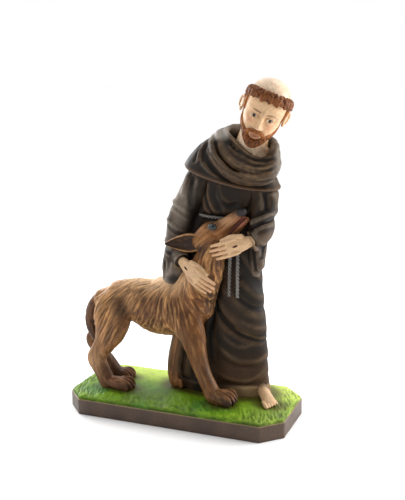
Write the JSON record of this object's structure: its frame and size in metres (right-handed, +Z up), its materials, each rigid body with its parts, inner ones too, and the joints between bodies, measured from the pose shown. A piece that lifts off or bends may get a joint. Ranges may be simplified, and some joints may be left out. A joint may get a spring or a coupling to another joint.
{
  "type": "saint francis statue",
  "caption": "Painted cast statue of a bearded friar in a hooded habit who holds the neck of a wolf that looks up at him, on a long eight-sided plinth with a grass top.",
  "frame": {"origin": "the middle of the plinth's flat underside, which rests on a shelf", "axes": "+X along the plinth towards the friar's bare foot, +Y to the back, -Y the front that faces the viewer, +Z up"},
  "size_m": [0.2791, 0.119, 0.3986],
  "materials": {
    "painted_plaster": "cast plaster and resin, airbrushed in brown, green, tan and flesh tones under a satin varnish"
  },
  "bodies": {
    "root": {"statue": "painted_plaster"}
  },
  "joints": []
}
